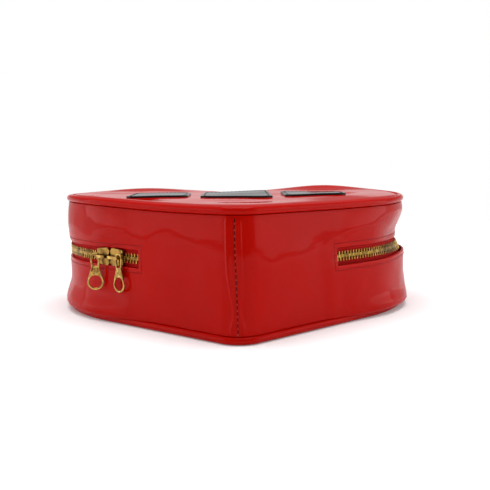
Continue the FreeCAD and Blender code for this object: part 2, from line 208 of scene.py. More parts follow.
def add_node(tree, kind, inputs, **settings):
    """A node of a kind with its settings and input values."""
    node = tree.nodes.new(kind)
    for setting, choice in settings.items():
        setattr(node, setting, choice)
    for socket, value in inputs.items():
        node.inputs[socket].default_value = value
    return node


def add_texture(tree, kind, inputs, **settings):
    """A texture that stays in place on its object."""
    texture = add_node(tree, kind, inputs, **settings)
    place = tree.nodes.new("ShaderNodeTexCoord")
    tree.links.new(place.outputs["Object"], texture.inputs["Vector"])
    return texture


def patent_leather(name, colour, deep_colour, rough=0.32):
    """Lacquered leather: dyed hide with cloudy depth under a clear poured coat with a faint peel."""
    lacquer = {"Coat Weight": 0.48, "Coat Roughness": 0.03, "Coat IOR": 1.22}
    material, tree, shader = new_material(name, {"Specular IOR Level": 0, **lacquer})
    clouds = add_texture(tree, "ShaderNodeTexNoise", {"Scale": 26, "Detail": 3})
    dye = add_node(tree, "ShaderNodeMix", {}, data_type="RGBA")
    dye.inputs["A"].default_value = (*deep_colour, 1)
    dye.inputs["B"].default_value = (*colour, 1)
    handling = add_texture(tree, "ShaderNodeTexNoise", {"Scale": 70, "Detail": 5})
    sheen = add_node(tree, "ShaderNodeMapRange", {"To Min": rough - 0.07, "To Max": rough + 0.07})
    peel = add_texture(tree, "ShaderNodeTexNoise", {"Scale": 420, "Detail": 2})
    skin = add_node(tree, "ShaderNodeBump", {"Strength": 0.12, "Distance": 0.0002})
    tree.links.new(clouds.outputs["Fac"], dye.inputs["Factor"])
    tree.links.new(dye.outputs["Result"], shader.inputs["Base Color"])
    tree.links.new(handling.outputs["Fac"], sheen.inputs["Value"])
    tree.links.new(sheen.outputs["Result"], shader.inputs["Roughness"])
    tree.links.new(peel.outputs["Fac"], skin.inputs["Height"])
    tree.links.new(skin.outputs["Normal"], shader.inputs["Normal"])
    tree.links.new(skin.outputs["Normal"], shader.inputs["Coat Normal"])
    return material


red_patent = patent_leather("red_patent", (0.52, 0.004, 0.001), (0.42, 0.003, 0.001))

bm = heart_sheet([(0.0026, 0.0014), (0.0032, 0.0006), (0.0042, 0.0001), (0.0065, 0), (0.0105, 0)], -1)
bmesh.ops.solidify(bm, geom=bm.faces[:], thickness=PANEL_THICKNESS)
back_leather = finish_piece("back_leather", bm, red_patent)
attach(back_leather, "bag")
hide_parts("back_panel")

# Back board and front boards: grey card hearts behind the panels that keep them flat. They lie loose
# between leather and lining and stay as they are, with the fibres of pressed card.


def add_ramp(tree, dark, light, start=0, end=1):
    """A ramp from a dark to a light colour."""
    ramp = tree.nodes.new("ShaderNodeValToRGB")
    for stop, position, colour in zip(ramp.color_ramp.elements, (start, end), (dark, light)):
        stop.position = position
        stop.color = (*colour, 1)
    return ramp


card, tree, shader = new_material("pressed_card", {"Specular IOR Level": 0.2, "Roughness": 0.9})
fibres = add_texture(tree, "ShaderNodeTexNoise", {"Scale": 900, "Detail": 6})
tint = add_ramp(tree, (0.16, 0.13, 0.10), (0.32, 0.28, 0.23))
tree.links.new(fibres.outputs["Fac"], tint.inputs["Fac"])
tree.links.new(tint.outputs["Color"], shader.inputs["Base Color"])
for name in ("back_board", "front_board", "front_board_tip"):
    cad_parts[name].data.materials.clear()
    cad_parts[name].data.materials.append(card)

# Back lining: a heart of black woven cloth glued over the board inside. Its edge is caught in the seam
# with the wall's lining.
LINING_THICKNESS = 0.0005


def weave_cloth(tree, shader, lengthways, crossways, dark, light, depth):
    """Links two crossing sets of threads to a cloth's colour and relief."""
    weave = add_node(tree, "ShaderNodeMath", {}, operation="MULTIPLY")
    tint = add_ramp(tree, dark, light)
    relief = add_node(tree, "ShaderNodeBump", {"Strength": depth, "Distance": 0.0002})
    tree.links.new(lengthways.outputs["Fac"], weave.inputs[0])
    tree.links.new(crossways.outputs["Fac"], weave.inputs[1])
    tree.links.new(weave.outputs["Value"], tint.inputs["Fac"])
    tree.links.new(weave.outputs["Value"], relief.inputs["Height"])
    tree.links.new(tint.outputs["Color"], shader.inputs["Base Color"])
    tree.links.new(relief.outputs["Normal"], shader.inputs["Normal"])


feel = {"Roughness": 0.75, "Sheen Weight": 0.3, "Specular IOR Level": 0.3}
lining, tree, shader = new_material("lining_cloth", feel)
warp = add_texture(
    tree, "ShaderNodeTexWave", {"Scale": 420, "Distortion": 0.6}, bands_direction="DIAGONAL"
)
weft = add_texture(tree, "ShaderNodeTexWave", {"Scale": 300, "Distortion": 0.6}, bands_direction="X")
weave_cloth(tree, shader, warp, weft, (0.010, 0.009, 0.010), (0.035, 0.031, 0.033), 0.4)
bm = heart_sheet([(0.0030, 0.0037), (0.0060, 0.0038), (0.0105, 0.0038)], 1)
bmesh.ops.solidify(bm, geom=bm.faces[:], thickness=LINING_THICKNESS)
back_lining_cloth = finish_piece("back_lining_cloth", bm, lining)
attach(back_lining_cloth, "bag")
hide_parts("back_lining")

# Back piping: a cotton cord rolled in a strip of the red leather, caught between panel and wall. The strip
# is skived thin, so the roll is even.
PIPING_RADIUS = 0.0021
PIPING_DEPTH = 0.0009
CORD_RADIUS = 0.0012


def rolled(radius, height, segments):
    """A round roll all the way round the heart at a height."""
    bm = bmesh.new()
    upright = Matrix.Rotation(math.pi / 2, 4, "Y")
    at_tip = Matrix.Translation((0, tip_y + PIPING_DEPTH, height))
    ring = bmesh.ops.create_circle(bm, segments=segments, radius=radius, matrix=at_tip @ upright)["verts"]
    carry_round_heart(bm, ring + bm.edges[:])
    return bm


red_welt = patent_leather("red_welt", (0.52, 0.004, 0.001), (0.42, 0.003, 0.001), 0.36)
cotton, tree, shader = new_material("cotton_cord", {"Roughness": 0.9})
strands = add_texture(tree, "ShaderNodeTexNoise", {"Scale": 1200})
tint = add_ramp(tree, (0.50, 0.46, 0.38), (0.72, 0.68, 0.60))
tree.links.new(strands.outputs["Fac"], tint.inputs["Fac"])
tree.links.new(tint.outputs["Color"], shader.inputs["Base Color"])

bm = rolled(PIPING_RADIUS, PIPING_RADIUS, 16)
back_welt = finish_piece("back_welt", bm, red_welt)
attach(back_welt, "bag")
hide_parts("back_piping")
bm = rolled(CORD_RADIUS, PIPING_RADIUS, 8)
back_welt_cord = finish_piece("back_welt_cord", bm, cotton)
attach(back_welt_cord, "bag")
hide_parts("back_piping_cord")

# Side wall: two halves of red patent leather that meet in an upright seam at the tip and another in the
# cleft. A window with turned, stitched edges takes the zip, and the strip above it is a piece of its own.
WALL_LOW = 0.0043
WALL_HIGH = 0.0647
ZIP_HEIGHT = 0.0385
WINDOW_HALF = 0.005
WALL_THICKNESS = 0.0013
TURN_RADIUS = 0.0005
HINGE_Y = -0.052345
FOLD_SOFTNESS = 0.012
LOBE_LIFT = 0.0042
LEFT_FLANK_RISE = 0.0025
LEFT_LOBE_RISE = 0.0022
RIGHT_LOBE_RISE = 0.0033
RISE_FROM = 0.046
SEAM_LEFT = 0.0011
SEAM_LEAN = 0.0011
# How far the soft leather is pressed in, fills out and sags.
WAIST_DEPTH = 0.0046
TIP_FULLNESS = 0.0008
STRIP_FULLNESS = 0.0010
LEFT_SAG = 0.0028
RIGHT_LIP_SAG = 0.0019
RIGHT_FOOT_SAG = 0.0012
LEFT_CHEEK = 0.0012
RIGHT_CHEEK = 0.0022
DENT_DEPTH = 0.0014
FOOT_OVERHANG = 0.0013
LIP_LIFT = 0.0019
# The allowances under the tip seam, its groove and the pucker at its foot.
ALLOWANCE_THICKNESS = 0.0005
ALLOWANCE_RIDGE = 0.0004
FOOT_ALLOWANCE = 0.0016
FOOT_FLARE = 0.0022
LEFT_ALLOWANCE = 0.0041
RIGHT_ALLOWANCE = 0.0027
GROOVE_DEPTH = 0.0006
PUCKER_RISE = 0.0010
PUCKER_HEIGHT = 0.0095
# The rows of the wall's mesh.
WALL_ROW = 0.0017


def between(start, full, fading, end, value):
    """Rises to 1 from start to full, and sinks to 0 again from fading to end."""
    return smooth(start, full, value) * (1 - smooth(fading, end, value))


def bell(middle, width, value):
    """A bell curve of height 1."""
    return math.exp(-(((value - middle) / width) ** 2))


def front_lift(point):
    """How far the sloped front and its board are above the level of the tip."""
    behind = point.y - HINGE_Y
    slope = LOBE_LIFT / (widest_y + LOBE_RADIUS - HINGE_Y)
    return slope * (behind + math.hypot(behind, FOLD_SOFTNESS)) / 2


def front_rise(point):
    """The same for the front's leather, which stands off the board at the left flank and both lobes."""
    lobe = LEFT_LOBE_RISE if point.x < 0 else RIGHT_LOBE_RISE
    lobe *= smooth(0.030, 0.100, point.y) * bell(0.068, 0.032, abs(point.x))
    from_flank = math.hypot(point.x + 0.095, point.y + 0.010)
    flank_edge = LEFT_FLANK_RISE * bell(0, 0.070, from_flank) * smooth(0.02, -0.07, point.x)
    return front_lift(point) + lobe + flank_edge


def settled(along):
    """Holds the wall's form steady where the upper strip begins, so that both sides of that cut agree."""
    off = along - window_start
    return window_start + off * smooth(0, 0.012, abs(off))


def beside_window(along):
    """Rises from 0 to 1 as the wall passes the near end of the zip window."""
    return smooth(window_start - 0.014, window_start + 0.026, along)


def waist(along, side, height):
    """How far the right-hand side is pressed in above the zip."""
    stretch = between(0.095, 0.150, 0.225, 0.285, along)
    return (WAIST_DEPTH if side > 0 else 0) * stretch * between(0.032, 0.048, 0.048, 0.062, height)


def tip_seam(along, side, height):
    """How far the tip seam stands out: allowances under the leather, a groove, and a pucker at the foot."""
    edge = smooth(0, 0.004, height - WALL_LOW) * smooth(0, 0.004, WALL_HIGH - height)
    upper_reach = LEFT_ALLOWANCE if side < 0 else RIGHT_ALLOWANCE
    reach = FOOT_ALLOWANCE + (upper_reach - FOOT_ALLOWANCE) * smooth(0.013, 0.040, height)
    reach += FOOT_FLARE * smooth(0.013, 0.006, height)
    allowance = ALLOWANCE_THICKNESS * (1 - smooth(reach - 0.0004, reach + 0.0012, along))
    allowance += ALLOWANCE_RIDGE * bell(reach, 0.0006, along)
    groove = GROOVE_DEPTH * bell(0, 0.0006, along)
    crease = 0.0027 - 0.21 * (height - PUCKER_HEIGHT)
    pucker = PUCKER_RISE * bell(crease, 0.0007, along) * bell(PUCKER_HEIGHT, 0.0030, height)
    return (allowance - groove) * edge + pucker


def swell(along, side, height):
    """How far the leather stands out from its flat form: full cheeks, soft dents and the tip seam."""
    steady = settled(along)
    past_end = beside_window(steady)
    window_low = ZIP_HEIGHT - WINDOW_HALF
    window_high = ZIP_HEIGHT + WINDOW_HALF
    span = math.sin(math.pi * (height - WALL_LOW) / (WALL_HIGH - WALL_LOW))
    above = math.sin(math.pi * max(0, height - window_high) / (WALL_HIGH - window_high))
    below = (window_low - height) / (window_low - WALL_LOW)
    if side < 0:
        sag = LEFT_SAG * smooth(0.45, 0.92, below)
        cheek = LEFT_CHEEK
    else:
        sag = RIGHT_LIP_SAG * smooth(-0.2, 0.02, below) + RIGHT_FOOT_SAG * smooth(0.35, 0.9, below)
        cheek = RIGHT_CHEEK
    sag += cheek * between(0.090, 0.125, 0.145, 0.180, along) * smooth(0.70, 0.98, below)
    sag *= 1 - 0.3 * smooth(0.965, 1, below)
    full = TIP_FULLNESS * span * (1 - past_end) + past_end * (sag + STRIP_FULLNESS * above)
    free = span * (1 - past_end) + past_end * (math.sin(math.pi * max(0, below)) + above)
    wave = noise.noise(Vector((steady * 24, height * 26, side * 3.7)))
    wave += 0.30 * noise.noise(Vector((steady * 62, height * 70, side * 5.1)))
    dents = DENT_DEPTH * wave * free * smooth(0.005, 0.022, along)
    return full + dents + tip_seam(along, side, height)


def shift(along, side, height):
    """How far the leather is drawn up: its foot hangs over the piping, and the right lip hugs the zip."""
    foot = FOOT_OVERHANG * beside_window(along) * smooth(0.0095, WALL_LOW, height)
    if side < 0 or height > ZIP_HEIGHT:
        return -foot
    lip = between(0.105, 0.160, 0.205, 0.260, along) * smooth(0.020, ZIP_HEIGHT - WINDOW_HALF, height)
    return LIP_LIFT * lip - foot


def flat_wall(along, side, height):
    """The point of the wall before it swells, and the way out there. Its tip seam is drawn to the left."""
    drawn = SEAM_LEFT + SEAM_LEAN * smooth(0.010, 0.060, height)
    drawn *= 1 - smooth(0.004, 0.026, along)
    station = abs(side * along - drawn)
    side = -1 if side * along < drawn else 1
    if station < tip_arc:
        out = Matrix.Rotation(-station / TIP_RADIUS, 3, "Z") @ Vector((0, -1, 0))
        flat = tip_centre + out * TIP_RADIUS
    elif station < flank_end:
        out = off_flank
        flat = tip_centre + out * TIP_RADIUS + up_flank * (station - tip_arc)
    elif station < shoulder_end:
        turn = FLANK_ANGLE + (station - flank_end) / SHOULDER_RADIUS
        out = Matrix.Rotation(-turn, 3, "Z") @ Vector((0, -1, 0))
        flat = shoulder_centre + out * SHOULDER_RADIUS
    elif station < lobe_end:
        turn = math.pi / 2 + (station - shoulder_end) / LOBE_RADIUS
        out = Matrix.Rotation(-turn, 3, "Z") @ Vector((0, -1, 0))
        flat = lobe_centre + out * LOBE_RADIUS
    else:
        turn = (wall_half - station) / CLEFT_RADIUS
        out = Matrix.Rotation(-turn, 3, "Z") @ Vector((0, 1, 0))
        flat = cleft_centre - out * CLEFT_RADIUS
    return Vector((-side * flat.x, flat.y, height)), Vector((-side * out.x, out.y, 0))


def shape_wall(bm, leather):
    """Gives a flat-sided wall its real form. Only the leather swells; all layers take the waist and rise."""
    for corner in bm.verts:
        along, side, out, depth = place_on_wall(corner.co)
        height = corner.co.z
        offset = -waist(along, side, height)
        rise = front_rise(corner.co) * smooth(RISE_FROM, WALL_HIGH, height)
        if leather:
            flat, out = flat_wall(along, side, height)
            corner.co = flat - out * depth
            offset += swell(along, side, height)
            rise += shift(along, side, height)
        corner.co += out * offset + Vector((0, 0, rise))


def wall_sheet(depth, thickness, window_half):
    """The whole wall as a layer with its window, its rims rounded over."""
    bm = bmesh.new()
    window_low = ZIP_HEIGHT - window_half
    window_high = ZIP_HEIGHT + window_half
    heights = (WALL_LOW, window_low, window_high, WALL_HIGH)
    section_at_tip(bm, [(depth, height) for height in heights])
    for line in bm.edges[:]:
        rows = round(line.calc_length() / WALL_ROW)
        bmesh.ops.subdivide_edges(bm, edges=[line], cuts=rows - 1)
    carry_round_heart(bm, bm.verts[:] + bm.edges[:])
    if min(bm.faces, key=lambda face: face.calc_center_median().y).normal.y > 0:
        bmesh.ops.reverse_faces(bm, faces=bm.faces)
    window = [
        face
        for face in bm.faces
        if abs(face.calc_center_median().z - ZIP_HEIGHT) < window_half
        and place_on_wall(face.calc_center_median())[0] > window_start
    ]
    bmesh.ops.delete(bm, geom=window, context="FACES")
    bmesh.ops.solidify(bm, geom=bm.faces[:], thickness=thickness)
    rims = [edge for edge in bm.edges if edge.is_manifold and edge.calc_face_angle() > 1]
    bmesh.ops.bevel(
        bm,
        geom=rims,
        offset=min(TURN_RADIUS, thickness / 3),
        segments=3,
        profile=0.5,
        affect="EDGES",
        material=-1,
    )
    return bm


def is_upper(point):
    """Whether a point of the wall is on the strip above the zip."""
    return point.z > ZIP_HEIGHT and place_on_wall(point)[0] > window_start


def cut_from(whole, side, upper):
    """One piece of the wall, with its cut ends closed."""
    bm = whole.copy()
    others = []
    for face in bm.faces:
        centre = face.calc_center_median()
        if centre.x * side < 0 or is_upper(centre) != upper:
            others.append(face)
    bmesh.ops.delete(bm, geom=others, context="FACES")
    ends = [edge for edge in bm.edges if edge.is_boundary]
    for edge in ends:
        edge.smooth = False
    bmesh.ops.holes_fill(bm, edges=ends, sides=0)
    return bm


whole_wall = wall_sheet(0, WALL_THICKNESS, WINDOW_HALF)
for side, name in ((-1, "left"), (1, "right")):
    bm = cut_from(whole_wall, side, False)
    shape_wall(bm, True)
    wall = finish_piece("wall_" + name, bm, red_patent)
    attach(wall, "bag")
    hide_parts("gusset_" + name)
    bm = cut_from(whole_wall, side, True)
    shape_wall(bm, True)
    strip = finish_piece("upper_wall_" + name, bm, red_patent)
    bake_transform(strip)
    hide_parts("upper_gusset_" + name)
whole_wall.free()

# Wall stitching: red thread beside the edges of the zip window, with near-black marks at its needle holes
# that are painted shade, and heavy thread down the tip seam coloured near-black as painted shade of its
# dents, with lighter beads at its holes as painted highlights. Each stitch sinks into the leather at both
# ends.
WINDOW_PITCH = 0.0023
SEAM_PITCH = 0.0031
STITCH_MARGIN = 0.0026
SEAM_END = 0.001
FINE_THREAD = 0.0005
HEAVY_THREAD = 0.0008


def point_on_wall(along, side, height):
    """The point on the shaped leather at a distance round the wall, and the way out there."""
    flat, out = flat_wall(along, side, height)
    offset = swell(along, side, height) - waist(along, side, height)
    rise = front_rise(flat) * smooth(RISE_FROM, WALL_HIGH, height) + shift(along, side, height)
    return flat + out * offset + Vector((0, 0, rise)), out


def thread(name, colour):
    """Waxed sewing thread with its twist."""
    material, tree, shader = new_material(name, {"Roughness": 0.55, "Specular IOR Level": 0.1})
    twist = add_texture(tree, "ShaderNodeTexWave", {"Scale": 700}, bands_direction="DIAGONAL")
    tint = add_node(tree, "ShaderNodeMix", {}, data_type="RGBA")
    tint.inputs["A"].default_value = (*[part * 0.8 for part in colour], 1)
    tint.inputs["B"].default_value = (*colour, 1)
    tree.links.new(twist.outputs["Fac"], tint.inputs["Factor"])
    tree.links.new(tint.outputs["Result"], shader.inputs["Base Color"])
    return material


def stitches(name, spots, width, yarn, gap):
    """A row of stitches, each lying between the two ends of its spot, with a mark at the needle hole at its
    start that is painted as shade or as a highlight.
    """
    bm = bmesh.new()
    for start, end, out in spots:
        run = (end - start).normalized()
        across = out.cross(run).normalized()
        turn = Matrix((run, across, run.cross(across))).transposed().to_4x4()
        length = (end - start).length
        stitch = (0.36 * length, 0.5 * width, 0.36 * width)
        hole = (0.16 * length, 0.7 * width, 0.26 * width)
        for material, middle, size in ((0, (start + end) / 2, stitch), (1, start, hole)):
            where = Matrix.Translation(middle) @ turn @ Matrix.Diagonal((*size, 1))
            ball = bmesh.ops.create_uvsphere(bm, u_segments=6, v_segments=4, radius=1, matrix=where)
            for face in {face for corner in ball["verts"] for face in corner.link_faces}:
                face.material_index = material
    row = finish_piece(name, bm, yarn)
    row.data.materials.append(gap)
    return row


def row_over(places):
    """Spots for stitches that each run from one place on the wall to the next."""
    points = [point_on_wall(*place) for place in places]
    return [(first[0], *last) for first, last in zip(points, points[1:])]


def row_along(side, height, start, end):
    """Spots for stitches along the wall at a height."""
    count = int((end - start) / WINDOW_PITCH)
    return row_over([(start + number * WINDOW_PITCH, side, height) for number in range(count + 1)])


def row_up(along, side, low, high, pitch):
    """Spots for stitches up the wall at one place."""
    count = round((high - low) / pitch)
    step = (high - low) / count
    return row_over([(along, side, low + number * step) for number in range(count + 1)])


red_thread = thread("red_thread", (0.46, 0.008, 0.006))
# near-black marks at the needle holes: painted shade inside the holes
painted_hole_shade = thread("painted_hole_shade", (0.03, 0.001, 0.001))
row_low = ZIP_HEIGHT - WINDOW_HALF - STITCH_MARGIN
row_high = ZIP_HEIGHT + WINDOW_HALF + STITCH_MARGIN
row_start = window_start - STITCH_MARGIN
for side, name in ((-1, "left"), (1, "right")):
    spots = row_along(side, row_low, row_start, wall_half)
    spots += row_up(row_start, side, row_low, row_high, WINDOW_PITCH)
    lower_stitches = stitches("window_stitches_" + name, spots, FINE_THREAD, red_thread, painted_hole_shade)
    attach(lower_stitches, "bag")
    spots = row_along(side, row_high, row_start, wall_half)
    upper_stitches = stitches("upper_window_stitches_" + name, spots, FINE_THREAD, red_thread, painted_hole_shade)
    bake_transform(upper_stitches)
# near-black thread down the tip seam: painted shade of the seam's stitch dents
shade_painted_thread = thread("shade_painted_thread", (0.045, 0.002, 0.002))
# lighter red-brown beads at the tip seam's holes: thread there, coloured lighter as a painted highlight
highlight_painted_bead = thread("highlight_painted_bead", (0.42, 0.06, 0.04))
spots = row_up(0, 1, WALL_LOW + SEAM_END, WALL_HIGH - SEAM_END, SEAM_PITCH)
seam_stitches = stitches("tip_seam_stitches", spots, HEAVY_THREAD, shade_painted_thread, highlight_painted_bead)
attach(seam_stitches, "bag")

# Wall lining: the same black cloth inside the wall, in the same pieces and caught in the same seams. It is
# cut back behind the zip so that the sliders run free.
LINING_DEPTH = 0.0023
LINING_WINDOW_HALF = 0.008
whole_lining = wall_sheet(LINING_DEPTH, LINING_THICKNESS, LINING_WINDOW_HALF)
shape_wall(whole_lining, False)
for side, name in ((-1, "left"), (1, "right")):
    cloth = finish_piece("wall_lining_" + name, cut_from(whole_lining, side, False), lining)
    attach(cloth, "bag")
    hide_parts("gusset_lining_" + name)
    cloth = finish_piece("upper_wall_lining_" + name, cut_from(whole_lining, side, True), lining)
    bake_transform(cloth)
    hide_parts("upper_gusset_lining_" + name)
whole_lining.free()

# Zip tapes: two red woven tapes sewn behind the window, each with a corded edge that the teeth clamp. They
# part where the two sliders meet.
TAPE_DEPTH = 0.0015
TAPE_THICKNESS = 0.0006
TAPE_EDGE = 0.0015
TAPE_BEAD = 0.0001
TAPE_BEND = 0.0095
TAPE_TOP = 0.0142
TAPE_LEAD = 0.010
SLIDERS_MEET = window_start + 0.02435
ROW_SPREAD = 0.0017
SPREAD_FLAT = 0.0032
SPREAD_RAMP = 0.0040


def spread(along, side):
    """How far a row stands off the middle of the zip beside the place where the sliders meet."""
    past_flat = abs(along - SLIDERS_MEET) - SPREAD_FLAT
    return (ROW_SPREAD if side < 0 else 0) * min(1, max(0, 1 - past_flat / SPREAD_RAMP))


def zip_tape(up):
    """One tape, above or below the middle of the zip."""
    bm = bmesh.new()
    outer = TAPE_DEPTH
    inner = TAPE_DEPTH + TAPE_THICKNESS
    section = [
        (outer, TAPE_TOP),
        (outer, 0.0090),
        (outer, 0.0050),
        (outer - TAPE_BEAD, TAPE_EDGE + 0.0010),
        (outer - TAPE_BEAD, TAPE_EDGE + 0.0003),
        ((outer + inner) / 2, TAPE_EDGE),
        (inner + TAPE_BEAD, TAPE_EDGE + 0.0003),
        (inner + TAPE_BEAD, TAPE_EDGE + 0.0010),
        (inner, 0.0050),
        (inner, 0.0090),
        (inner, TAPE_TOP),
    ]
    outline = section_at_tip(bm, [(depth, ZIP_HEIGHT + up * height) for depth, height in section])
    outline.append(bm.edges.new((outline[0], outline[len(section) - 1])))
    carry_round_heart(bm, outline)
    lead = [
        face
        for face in bm.faces
        if place_on_wall(face.calc_center_median())[0] < window_start - TAPE_LEAD
    ]
    bmesh.ops.delete(bm, geom=lead, context="FACES")
    bmesh.ops.holes_fill(bm, edges=[edge for edge in bm.edges if edge.is_boundary], sides=0)
    for corner in bm.verts:
        along, side = place_on_wall(corner.co)[:2]
        off_middle = abs(corner.co.z - ZIP_HEIGHT)
        parting = spread(along, side) * (1 - smooth(TAPE_EDGE + 0.001, TAPE_BEND, off_middle))
        corner.co += Vector((0, 0, up * parting))
    shape_wall(bm, False)
    return bm


red_tape, tree, shader = new_material("red_tape", {"Roughness": 0.8, "Specular IOR Level": 0.1})
ribs = add_texture(
    tree,
    "ShaderNodeTexWave",
    {"Scale": 330, "Distortion": 1.5, "Detail Scale": 400},
    bands_direction="Z",
)
twill = add_texture(tree, "ShaderNodeTexWave", {"Scale": 500}, bands_direction="DIAGONAL")
weave_cloth(tree, shader, ribs, twill, (0.36, 0.003, 0.003), (0.66, 0.008, 0.006), 0.5)
tape_upper = finish_piece("tape_upper", zip_tape(1), red_tape, 60)
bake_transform(tape_upper)
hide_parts("zip_tape_upper")
tape_lower = finish_piece("tape_lower", zip_tape(-1), red_tape, 60)
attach(tape_lower, "bag")
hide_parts("zip_tape_lower")

# Zip teeth: forked brass teeth pressed on the tape edges, in two rows that mesh along the middle. Their
# pressed corners are broken and the brass has aged brown in patches.
TOOTH_SLIMMING = 0.2
TOOTH_CORNER = 0.00015
TOOTH_FLATNESS = 0.05


def aged_brass(name, bright, brown):
    """Polished brass that has gone brown in patches."""
    material, tree, shader = new_material(name, {"Metallic": 1})
    patches = add_texture(tree, "ShaderNodeTexNoise", {"Scale": 330, "Detail": 5})
    tint = add_ramp(tree, brown, bright, 0.32, 0.60)
    polish = add_node(tree, "ShaderNodeMapRange", {"To Min": 0.36, "To Max": 0.17})
    scratches = add_texture(tree, "ShaderNodeTexNoise", {"Scale": 1500})
    relief = add_node(tree, "ShaderNodeBump", {"Strength": 0.15, "Distance": 0.0001})
    tree.links.new(patches.outputs["Fac"], tint.inputs["Fac"])
    tree.links.new(tint.outputs["Color"], shader.inputs["Base Color"])
    tree.links.new(patches.outputs["Fac"], polish.inputs["Value"])
    tree.links.new(polish.outputs["Result"], shader.inputs["Roughness"])
    tree.links.new(scratches.outputs["Fac"], relief.inputs["Height"])
    tree.links.new(relief.outputs["Normal"], shader.inputs["Normal"])
    return material


def merged_copy(node, flat_angle):
    """A copy of a solid's mesh with its corners merged and its flat faces in one."""
    bm = bmesh.new()
    bm.from_mesh(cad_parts[node].data)
    bmesh.ops.remove_doubles(bm, verts=bm.verts, dist=1e-6)
    bmesh.ops.dissolve_limit(bm, angle_limit=flat_angle, verts=bm.verts, edges=bm.edges)
    return bm


def slim_teeth(bm):
    """Draws each tooth in along the tape, so that dark gaps show between the teeth."""
    reached = set()
    for start in bm.verts:
        if start in reached:
            continue
        tooth = [start]
        reached.add(start)
        for corner in tooth:
            beside = [edge.other_vert(corner) for edge in corner.link_edges]
            fresh = [other for other in beside if other not in reached]
            reached.update(fresh)
            tooth += fresh
        middle = sum((corner.co for corner in tooth), Vector()) / len(tooth)
        out = place_on_wall(middle)[2]
        run = Vector((-out.y, out.x, 0))
        for corner in tooth:
            corner.co -= run * (TOOTH_SLIMMING * run.dot(corner.co - middle))


def pressed_teeth(node):
    """A row of teeth with their corners broken, on the shaped tape."""
    bm = merged_copy(node, TOOTH_FLATNESS)
    slim_teeth(bm)
    bmesh.ops.bevel(
        bm, geom=bm.edges[:], offset=TOOTH_CORNER, segments=1, profile=0.5, affect="EDGES", material=-1
    )
    shape_wall(bm, False)
    return bm


tooth_brass = aged_brass("tooth_brass", (0.52, 0.31, 0.06), (0.20, 0.10, 0.02))
teeth_upper = finish_piece("teeth_upper", pressed_teeth("zip_teeth_upper"), tooth_brass, 30)
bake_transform(teeth_upper)
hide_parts("zip_teeth_upper")
teeth_lower = finish_piece("teeth_lower", pressed_teeth("zip_teeth_lower"), tooth_brass, 30)
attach(teeth_lower, "bag")
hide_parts("zip_teeth_lower")

# Sliders and crowns: cast brass, tumbled until the corners are round. Each crown is a strap on two legs that
# are riveted into the slider's outer plate. The bodies are a darker brass than the crowns, as painted shade
# under the crowns.
CAST_FLATNESS = 0.02
CAST_CORNER = 0.00028
CAST_SHARP = 35
cast_brass = aged_brass("cast_brass", (0.58, 0.37, 0.10), (0.22, 0.12, 0.03))
# darker brass for the slider bodies: painted shade under the crowns, over the brown patches of patina
shade_darkened_brass = aged_brass("shade_darkened_brass", (0.36, 0.20, 0.04), (0.13, 0.07, 0.015))

for body in ("slider_front", "slider_rear"):
    for part, brass in (("body", shade_darkened_brass), ("crown", cast_brass)):
        node = body + "_" + part
        piece = finish_piece("cast_" + node, merged_copy(node, CAST_FLATNESS), brass, CAST_SHARP)
        rounding = piece.modifiers.new("rounding", "BEVEL")
        rounding.width = CAST_CORNER
        rounding.segments = 3
        rounding.limit_method = "ANGLE"
        rounding.angle_limit = math.radians(CAST_SHARP)
        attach(piece, body)
        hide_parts(node)

# Pulls: cast brass too, each with an arched stirrup that hangs on its crown, a fluted neck and a finger ring.
# The rims of stirrup, neck and ring are rounded like wire.
PULL_RIM = 0.00036
PULL_THICKNESS = 0.0010
for body in ("pull_front", "pull_rear"):
    bm = merged_copy(body, CAST_FLATNESS)
    across = max(bm.faces, key=lambda face: face.calc_area()).normal.copy()
    rims = []
    for edge in bm.edges:
        sides = [face for face in edge.link_faces if abs(face.normal.dot(across)) < 0.1]
        if len(sides) != 1:
            continue
        span = [corner.co.dot(across) for corner in sides[0].verts]
        if max(span) - min(span) > 0.9 * PULL_THICKNESS:
            rims.append(edge)
    bmesh.ops.bevel(
        bm, geom=rims, offset=PULL_RIM, segments=3, profile=0.5, affect="EDGES", material=-1
    )
    piece = finish_piece("cast_" + body, bm, cast_brass, 40)
    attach(piece, body)
    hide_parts(body)

# Front panel: the heart of red patent leather that faces up. It is not glued to its board, so the lobes
# stand up towards their far edge.
BOARD_SLACK = 0.0007
RIPPLE = 0.0009
NEAR_PUFF = 0.0004
bm = heart_sheet(
    [
        (0.0026, PURSE_HEIGHT - 0.0016),
        (0.0032, PURSE_HEIGHT - 0.0008),
        (0.0040, PURSE_HEIGHT - 0.0002),
        (0.0050, PURSE_HEIGHT),
        (0.0065, PURSE_HEIGHT),
        (0.0085, PURSE_HEIGHT),
        (0.0105, PURSE_HEIGHT),
    ],
    1,
)


def panel_rise(point):
    """The front's height above the tip: full behind the near piping, dished to its board inside the rim."""
    depth = place_on_wall(point)[3]
    inside = smooth(0.004, 0.022, depth)
    wave = noise.noise(Vector((point.x * 24, point.y * 24, 4)))
    resting = front_lift(point) + BOARD_SLACK + RIPPLE * wave
    full = NEAR_PUFF * smooth(0.0034, 0.0080, depth) * (1 - smooth(-0.02, 0.05, point.y))
    return front_rise(point) * (1 - inside) + resting * inside + full


for corner in bm.verts:
    corner.co.z += panel_rise(corner.co)
bmesh.ops.solidify(bm, geom=bm.faces[:], thickness=PANEL_THICKNESS)
front_leather = finish_piece("front_leather", bm, red_patent)
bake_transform(front_leather)
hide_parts("front_panel", "front_panel_tip")

# Front lining: the same black cloth as on the back, glued under the front's board, so it slopes with the
# board.
bm = heart_sheet([(0.0030, 0.0653), (0.0060, 0.0652), (0.0105, 0.0652)], -1)
for corner in bm.verts:
    corner.co.z += front_lift(corner.co)
bmesh.ops.solidify(bm, geom=bm.faces[:], thickness=LINING_THICKNESS)
front_lining_cloth = finish_piece("front_lining_cloth", bm, lining)
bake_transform(front_lining_cloth)
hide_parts("front_lining", "front_lining_tip")
